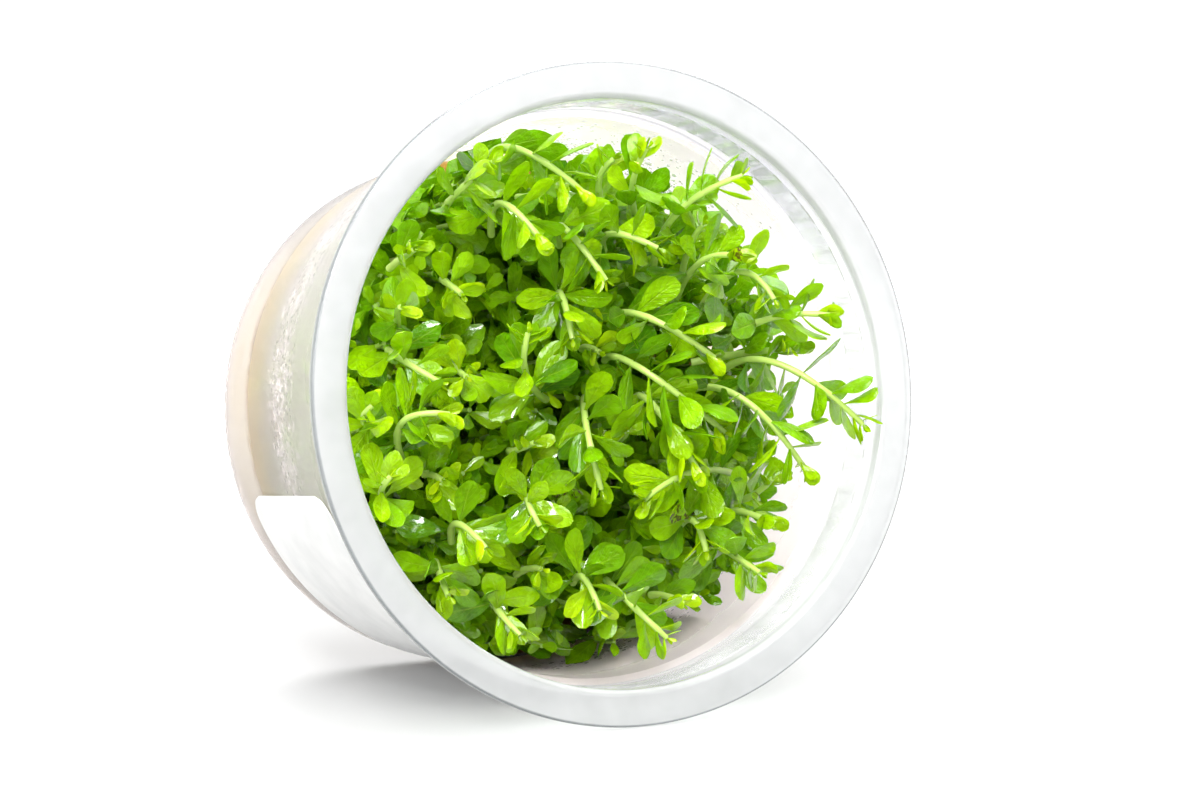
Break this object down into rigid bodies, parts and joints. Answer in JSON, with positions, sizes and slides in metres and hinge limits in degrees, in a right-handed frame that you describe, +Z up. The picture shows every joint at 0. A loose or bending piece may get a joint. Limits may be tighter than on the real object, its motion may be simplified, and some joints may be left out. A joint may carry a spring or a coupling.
{
  "type": "tissue culture plant cup",
  "caption": "Open clear plastic cup lying on its side, with a wide flat rim, a paper label, nutrient gel, and small round-leaved rotala shoots growing out to its mouth",
  "frame": {"origin": "centre of the bounding box's footprint, at the level of the floor that the cup lies on", "axes": "+Z up, -Y out of the cup's mouth, which tips up by 7.65 degrees, +X to the right for somebody who looks into the mouth"},
  "size_m": [0.105, 0.0817, 0.1042],
  "materials": {
    "polypropylene": "clear moulded polypropylene, slightly hazy, glossy",
    "label_paper": "white coated label paper, semi-gloss, bare of print",
    "nutrient_gel": "milky cream agar gel, wet",
    "lower_growth": "crowded pale stems, small leaves and roots, damp",
    "rotala": "fresh green leaf, waxy and damp"
  },
  "bodies": {
    "root": {"cup": "polypropylene", "label": "label_paper", "gel": "nutrient_gel", "lower_growth": "lower_growth", "shoot_top_tip": "rotala", "shoot_top_left": "rotala", "shoot_upper_stem": "rotala", "shoot_upper_arch": "rotala", "shoot_mid_arch": "rotala", "shoot_round_pair": "rotala", "shoot_fork_tip": "rotala", "shoot_upper_right": "rotala", "shoot_right_crown": "rotala", "shoot_inner_right": "rotala", "shoot_right_bar": "rotala", "shoot_right_bend": "rotala", "shoot_far_right_up": "rotala", "shoot_far_right": "rotala", "shoot_spoon": "rotala", "shoot_long_upper": "rotala", "shoot_long_right": "rotala", "shoot_long_mid": "rotala", "shoot_mid_right": "rotala", "shoot_cross_stem": "rotala", "shoot_star": "rotala", "shoot_left_stem": "rotala", "shoot_left_cross": "rotala", "shoot_left_low": "rotala", "shoot_left_rim": "rotala", "shoot_crown": "rotala", "shoot_centre": "rotala", "shoot_lower_mid": "rotala", "shoot_hang_mid": "rotala", "shoot_lower_left": "rotala", "shoot_bottom_left": "rotala", "shoot_bottom_mid": "rotala", "shoot_bottom_right": "rotala", "shoot_low_right": "rotala", "shoot_right_round": "rotala", "shoot_right_bright": "rotala", "shoot_right_leaf": "rotala", "shoot_deep_left": "rotala", "shoot_deep_upper": "rotala", "shoot_deep_middle": "rotala", "shoot_deep_centre": "rotala", "shoot_deep_lower": "rotala", "shoot_deep_right": "rotala", "shoot_deep_bottom": "rotala", "shoot_deep_bottom_right": "rotala", "shoot_deep_top": "rotala", "shoot_deep_far_left": "rotala"}
  },
  "joints": []
}
